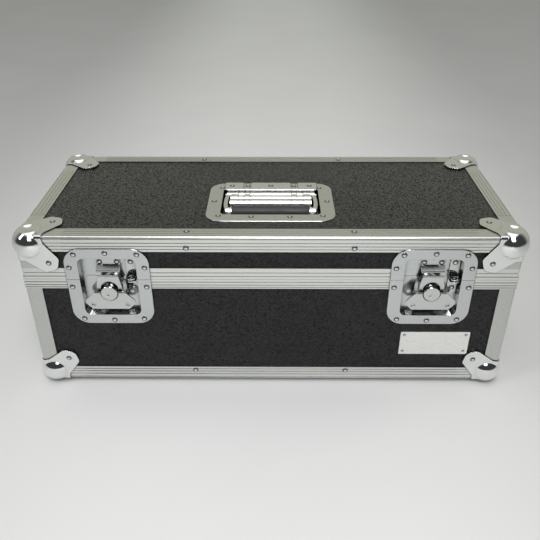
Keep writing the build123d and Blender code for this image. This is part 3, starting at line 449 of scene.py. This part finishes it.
def dress(names, material):
    """Gives CAD nodes a material."""
    for name in names:
        node = NODES[name]
        node.data.materials.clear()
        node.data.materials.append(material)


def grid_faces(rows, columns, start=0):
    """Quads between the points of a grid, which are numbered row by row from the start."""
    index = np.arange(rows * columns).reshape(rows, columns) + start
    corners = [index[:-1, :-1], index[1:, :-1], index[1:, 1:], index[:-1, 1:]]
    return np.stack(corners, -1).reshape(-1, 4)


def new_piece(name, shells, material, body):
    """One mesh object from closed shells, each given as (vertices, faces) arrays, riding on a body."""
    vertices = np.concatenate([points for points, _ in shells])
    starts = np.cumsum([0] + [len(points) for points, _ in shells[:-1]])
    faces = np.concatenate([quads + start for (_, quads), start in zip(shells, starts)])
    mesh = bpy.data.meshes.new(name)
    mesh.from_pydata(vertices.tolist(), [], faces.tolist())
    mesh.polygons.foreach_set("use_smooth", np.ones(len(faces), bool))
    mesh.materials.append(material)
    mesh.validate()
    mesh.update()
    piece = bpy.data.objects.new(name, mesh)
    bpy.context.scene.collection.objects.link(piece)
    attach(piece, body)
    return piece


def node_blocks(node):
    """Points of each loose block of a CAD node.

    Points at one place share a number. Each number's label is lowered to the least label in any triangle that
    has it, until none changes, so a block's numbers end with one label.
    """
    mesh = NODES[node].data
    points = np.empty(len(mesh.vertices) * 3, np.float32)
    mesh.vertices.foreach_get("co", points)
    points = np.round(points.reshape(-1, 3).astype(float), CAD_DECIMALS)
    corners = np.empty(len(mesh.loops), np.int32)
    mesh.loops.foreach_get("vertex_index", corners)
    _, numbers = np.unique(points, axis=0, return_inverse=True)
    numbers = numbers.reshape(-1)
    triangles = numbers[corners.reshape(-1, 3)]
    labels = np.arange(numbers.max() + 1)
    changed = True
    while changed:
        lowered = labels.copy()
        np.minimum.at(lowered, triangles, labels[triangles].min(1, keepdims=True))
        changed = (lowered != labels).any()
        labels = lowered
    return [points[labels[numbers] == label] for label in np.unique(labels)]


def grid_lines(low, high, edge, pitch, extra):
    """Places of grid lines between two faces: even ones, more near both ends, a pair at each extra place."""
    ends = edge * EDGE_STEPS
    count = max(2, int(round((high - low - 2 * ends[-1]) / pitch)))
    middle = np.linspace(low + ends[-1], high - ends[-1], count + 1)[1:-1]
    pairs = [place + side * edge / 3 for place in extra for side in (-1, 1)]
    return np.unique(np.round(np.concatenate([low + ends, high - ends, middle, pairs]), FOAM_DECIMALS))


def sunk(face, sides, pockets, sink):
    """How far each point of a face is sunk: the given depth, or a pocket's inside the pocket's rectangle."""
    for box_low, box_high, deep in pockets:
        inside = [(face[..., side] > box_low[side]) & (face[..., side] < box_high[side]) for side in sides]
        sink = np.where(np.all(inside, 0), deep, sink)
    return sink


def slab_shell(low, high, shape, pockets, pocketed_face):
    """Closed shell of a foam slab.

    Each face is a grid. A point q of the box is moved to c + r (q - c) / |q - c|, where c is the point nearest
    to q in the box inset by the edge's radius r. The face's middle is sunk by crown times (1 - a^2)(1 - b^2),
    with a and b running from -1 to 1 across it. A pocket sinks its own rectangle of one face.
    """
    edge = shape.edge_round
    centre, half = (low + high) / 2, (high - low) / 2
    lines = []
    for axis in range(3):
        ends = [box[axis] for pocket in pockets for box in pocket[:2]]
        inner = [end for end in ends if low[axis] + edge < end < high[axis] - edge]
        lines.append(grid_lines(low[axis], high[axis], edge, shape.pitch, inner))
    points, faces, start = [], [], 0
    for axis in range(3):
        across, along = [other for other in range(3) if other != axis]
        grid_a, grid_b = np.meshgrid(lines[across], lines[along], indexing="ij")
        for end in (0, 1):
            face = np.empty(grid_a.shape + (3,))
            face[..., across], face[..., along] = grid_a, grid_b
            face[..., axis] = (low, high)[end][axis]
            inset = np.clip(face, low + edge, high - edge)
            reach = face - inset
            span = np.linalg.norm(reach, axis=-1, keepdims=True)
            shaped = inset + edge * reach / np.maximum(span, TINY)
            a = (face[..., across] - centre[across]) / half[across]
            b = (face[..., along] - centre[along]) / half[along]
            sink = shape.crown * (1 - a**2) * (1 - b**2)
            if (axis, end) == pocketed_face:
                sink = sunk(face, (across, along), pockets, sink)
            shaped[..., axis] += sink if end == 0 else -sink
            quads = grid_faces(*grid_a.shape, start)
            turned = (end == 0) != (axis == 1)
            faces.append(quads[:, ::-1] if turned else quads)
            points.append(shaped.reshape(-1, 3))
            start += grid_a.size
    points, faces = np.concatenate(points), np.concatenate(faces)
    rounded = np.round(points, FOAM_DECIMALS)
    _, first, same = np.unique(rounded, axis=0, return_index=True, return_inverse=True)
    return points[first], same.reshape(-1)[faces]


def lining_shell(points, shape, body):
    """Foam slab round the points of a block, with a pocket wherever the block's hidden face steps inwards."""
    low, high = points.min(0), points.max(0)
    axis, end = POCKETED_FACES[body]
    levels = np.unique(points[:, axis])
    pockets = []
    if len(levels) > 2:
        floor = levels[1] if end == 0 else levels[-2]
        deep = abs(floor - (low, high)[end][axis])
        corners = points[np.isclose(points[:, axis], floor)]
        for ends in np.unique(corners[:, 0]).reshape(-1, 2):
            box_low, box_high = corners.min(0), corners.max(0)
            box_low[0], box_high[0] = ends
            pockets.append((box_low - POCKET_MARGIN, box_high + POCKET_MARGIN, deep))
    return slab_shell(low, high, shape, pockets, (axis, end))


def look_from(eye, pitch, yaw, roll):
    """Matrix of a camera at a place, looking along +Y, then turned right, down, and about its own axis."""
    ahead = Vector((sin(yaw) * cos(pitch), cos(yaw) * cos(pitch), -sin(pitch)))
    turn = ahead.to_track_quat("-Z", "Y").to_matrix().to_4x4()
    return Matrix.Translation(eye) @ turn @ Matrix.Rotation(roll, 4, "Z")


def soft_lamp(name, place, size, watts, shade):
    """Large rectangular lamp that faces the case."""
    lamp = bpy.data.lights.new(name, "AREA")
    lamp.shape = "RECTANGLE"
    lamp.size, lamp.size_y = size
    lamp.energy = watts
    lamp.color = shade
    made = bpy.data.objects.new(name, lamp)
    turn = (Vector(LAMP_TARGET) - Vector(place)).to_track_quat("-Z", "Y").to_matrix().to_4x4()
    made.matrix_world = Matrix.Translation(place) @ turn
    bpy.context.scene.collection.objects.link(made)


class CASE_OT_studio(Operator):
    """Camera, lamps, room light and the pale floor."""

    bl_idname = "case.studio"
    bl_label = "Studio"

    def execute(self, context):
        studio = context.scene.case_studio
        view = bpy.data.cameras.new("camera")
        view.lens, view.sensor_width = studio.lens, SENSOR_WIDTH
        view.shift_y = studio.shift
        camera = bpy.data.objects.new("camera", view)
        camera.matrix_world = look_from(studio.eye, studio.pitch, studio.yaw, studio.roll)
        context.scene.collection.objects.link(camera)
        context.scene.camera = camera
        context.scene.view_settings.view_transform = "Standard"
        self.room(context.scene, studio)
        self.floor(context.scene, studio)
        for name, watts, place, size, shade in LAMPS:
            soft_lamp(name, place, size, getattr(studio, watts), shade)
        return {"FINISHED"}

    def room(self, scene, studio):
        """World light: a dim room in front of the case, a lighter one behind it and a bright ceiling."""
        scene.world = bpy.data.worlds.new("room")
        graph = Graph(scene.world)
        direction = graph.node("ShaderNodeTexCoord", output="Generated")
        backwards, upwards = graph.axes(direction, "YZ")
        parts = (
            (studio.front_colour, 1.0),
            (studio.back_colour, 1.0),
            (studio.ceiling_colour, studio.ceiling_strength),
        )
        front, back, ceiling = (
            graph.node("ShaderNodeBackground", {}, {"Color": (*shade, 1), "Strength": strength})
            for shade, strength in parts
        )
        walls = graph.node("ShaderNodeMixShader", {}, {0: backwards.step(*ROOM_TURN), 1: front, 2: back})
        room = graph.node("ShaderNodeMixShader", {}, {0: upwards.step(*ROOM_RISE), 1: walls, 2: ceiling})
        graph.node("ShaderNodeOutputWorld", {}, {"Surface": room}, output=None)

    def floor(self, scene, studio):
        """Floor: a square grid of z = 0 with painted shade to the sides and on faint folds of cloth, which are
        also in its bump.
        """
        finish = Finish("floor_cloth", {"Roughness": 0.9, "Specular IOR Level": 0.1})
        fold, fold_depth, thread = 0.25, 0.004, 0.0015
        folds = finish.noise(fold, 2.0, distortion=0.8)
        weave = finish.noise(thread, 2.0)
        (side,) = finish.axes(finish.place(), "X")
        # Painted shade: the floor darkens to the sides and on the folds of cloth.
        shaded = finish.math("ABSOLUTE", side).step(*FLOOR_FADE) * 0.85 + folds * 0.15
        dim = darker(studio.floor_colour, FLOOR_SIDE_TONE)
        finish.feed(Base_Color=finish.tint(shaded, studio.floor_colour, dim))
        finish.bump(folds + weave * 0.02, fold_depth, 0.3)
        lines = np.linspace(-studio.floor_size, studio.floor_size, FLOOR_LINES)
        grid_x, grid_y = np.meshgrid(lines, lines, indexing="ij")
        points = np.stack([grid_x, grid_y, np.zeros_like(grid_x)], -1).reshape(-1, 3)
        mesh = bpy.data.meshes.new("floor")
        mesh.from_pydata(points.tolist(), [], grid_faces(FLOOR_LINES, FLOOR_LINES).tolist())
        mesh.materials.append(finish.material)
        floor = bpy.data.objects.new("floor", mesh)
        scene.collection.objects.link(floor)


class CASE_OT_panels(Operator):
    """Grained black laminate on every panel; on top of the lid a copy with stronger painted light and shade on
    its grain and a stronger coat, polished by hands.
    """

    bl_idname = "case.panels"
    bl_label = "Panels"

    def execute(self, context):
        look = context.scene.case_finishes
        walls = [f"{half}_{side}_panel" for half in HALVES for side in ("front", "back", "left", "right")]
        plain = laminate("laminate", look.wall_contrast, look.wall_shine)
        dress([*walls, "base_bottom_panel"], plain)
        # Painted light: the top of the lid takes a copy with stronger contrast, lighter on its ridges where
        # more light falls.
        lit_and_polished = laminate("handled_laminate", look.top_contrast, look.top_shine)
        dress(["lid_top_panel"], lit_and_polished)
        return {"FINISHED"}


class CASE_OT_profiles(Operator):
    """Satin anodised profiles, each streaked along its own run."""

    bl_idname = "case.profiles"
    bl_label = "Profiles"

    def execute(self, context):
        look = context.scene.case_finishes
        shade = look.profile_colour
        runs = {
            "profile_across": (0, shade, ("edge_front", "edge_back", "rim_front", "rim_back")),
            "profile_deep": (1, shade, ("edge_sides", "rim_sides")),
            # Painted shade: the uprights take a darker copy of the profile colour.
            "profile_upright": (2, darker(shade, look.upright_shade), ("corner_angles",)),
        }
        for name, (along, tone, pieces) in runs.items():
            nodes = [f"{half}_{piece}" for half in HALVES for piece in pieces]
            dress(nodes, anodised(name, along, tone))
        return {"FINISHED"}


class CASE_OT_ball_corners(Operator):
    """Bright plated ball corners."""

    bl_idname = "case.ball_corners"
    bl_label = "Ball Corners"

    def execute(self, context):
        look = context.scene.case_finishes
        bright = plated("ball_plating", look.plate_colour, look.plate_gloss)
        dress([name for name in NODES if "_ball_corner_" in name], bright)
        return {"FINISHED"}


class CASE_OT_latches(Operator):
    """Dishes, hubs, hooks, wings, keepers and padlock lugs of both latches."""

    bl_idname = "case.latches"
    bl_label = "Latches"

    def execute(self, context):
        look = context.scene.case_finishes
        pressed = plated("dish_plating", look.dish_colour, look.dish_gloss)
        bright = plated("latch_plating", darker(look.plate_colour, look.latch_tone), look.plate_gloss)
        for side in LATCHES:
            dress([f"{side}_latch_{part}_dish" for part in ("upper", "lower")], pressed)
            dress([f"{side}_latch_{part}" for part in ("hub", "hook", "wing")], bright)
        dress(["latch_keepers", "base_padlock_lugs", "lid_padlock_lugs"], bright)
        return {"FINISHED"}


class CASE_OT_handle(Operator):
    """Dish, hinge plate, axle, spring, bail and rubber grip of the handle."""

    bl_idname = "case.handle"
    bl_label = "Handle"

    def execute(self, context):
        look = context.scene.case_finishes
        dress(["handle_dish"], plated("handle_dish_plating", look.handle_colour, look.dish_gloss))
        bright = plated("handle_plating", look.plate_colour, look.plate_gloss)
        dress(["handle_hinge_plate", "handle_axle", "handle_bail"], bright)
        dress(["handle_spring"], brushed("spring_steel", look.spring_colour, look.spring_gloss))
        dress(["handle_grip"], rubber())
        return {"FINISHED"}


class CASE_OT_hinges(Operator):
    """Leaves and pins of the back hinges."""

    bl_idname = "case.hinges"
    bl_label = "Hinges"

    def execute(self, context):
        look = context.scene.case_finishes
        bright = plated("hinge_plating", look.plate_colour, look.hinge_gloss)
        dress(["base_hinge_leaves", "lid_hinge_leaves", "hinge_pins"], bright)
        return {"FINISHED"}


class CASE_OT_rivets(Operator):
    """Heads and tails of the rivets."""

    bl_idname = "case.rivets"
    bl_label = "Rivets"

    def execute(self, context):
        look = context.scene.case_finishes
        dress(["base_rivets", "lid_rivets"], riveted(look.plate_colour, look.rivet_gloss))
        return {"FINISHED"}


class CASE_OT_badge(Operator):
    """Bare brushed badge plate."""

    bl_idname = "case.badge"
    bl_label = "Badge Plate"

    def execute(self, context):
        look = context.scene.case_finishes
        dress(["badge_plate"], brushed("badge_sheet", look.badge_colour, look.badge_gloss))
        return {"FINISHED"}


class CASE_OT_lining(Operator):
    """Foam slabs of the base and the lid."""

    bl_idname = "case.lining"
    bl_label = "Lining"

    def execute(self, context):
        shape = context.scene.case_lining
        soft = foam()
        for body in HALVES:
            node = f"{body}_foam"
            shells = [lining_shell(points, shape, body) for points in node_blocks(node)]
            piece = new_piece(f"{body}_lining", shells, soft, body)
            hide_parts(node)
        return {"FINISHED"}


class CASE_PT_sidebar(Panel):
    """Sizes, colours and pieces of the case."""

    bl_label = "Record Case"
    bl_idname = "CASE_PT_sidebar"
    bl_space_type = "VIEW_3D"
    bl_region_type = "UI"
    bl_category = "Record Case"

    def draw(self, context):
        for group in GROUPS:
            box = self.layout.box()
            box.label(text=group.replace("_", " ").title())
            settings = getattr(context.scene, group)
            for name in settings.bl_rna.properties.keys():
                if name not in ("name", "rna_type"):
                    box.prop(settings, name)
        for operator in OPERATORS:
            self.layout.operator(operator.bl_idname)


GROUPS = {"case_finishes": CaseFinishes, "case_lining": CaseLining, "case_studio": CaseStudio}
OPERATORS = (
    CASE_OT_studio,
    CASE_OT_panels,
    CASE_OT_profiles,
    CASE_OT_ball_corners,
    CASE_OT_latches,
    CASE_OT_handle,
    CASE_OT_hinges,
    CASE_OT_rivets,
    CASE_OT_badge,
    CASE_OT_lining,
)


def register():
    """Registers the settings, the operators and the panel."""
    for name, group in GROUPS.items():
        bpy.utils.register_class(group)
        setattr(bpy.types.Scene, name, PointerProperty(type=group))
    for each in (*OPERATORS, CASE_PT_sidebar):
        bpy.utils.register_class(each)


def unregister():
    """Takes them all out again."""
    for each in (CASE_PT_sidebar, *reversed(OPERATORS)):
        bpy.utils.unregister_class(each)
    for name, group in GROUPS.items():
        delattr(bpy.types.Scene, name)
        bpy.utils.unregister_class(group)


def main():
    """Runs every operator in order."""
    register()
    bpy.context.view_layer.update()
    bpy.ops.case.studio()
    bpy.ops.case.panels()
    bpy.ops.case.profiles()
    bpy.ops.case.ball_corners()
    bpy.ops.case.latches()
    bpy.ops.case.handle()
    bpy.ops.case.hinges()
    bpy.ops.case.rivets()
    bpy.ops.case.badge()
    bpy.ops.case.lining()


if __name__ == "__main__":
    main()
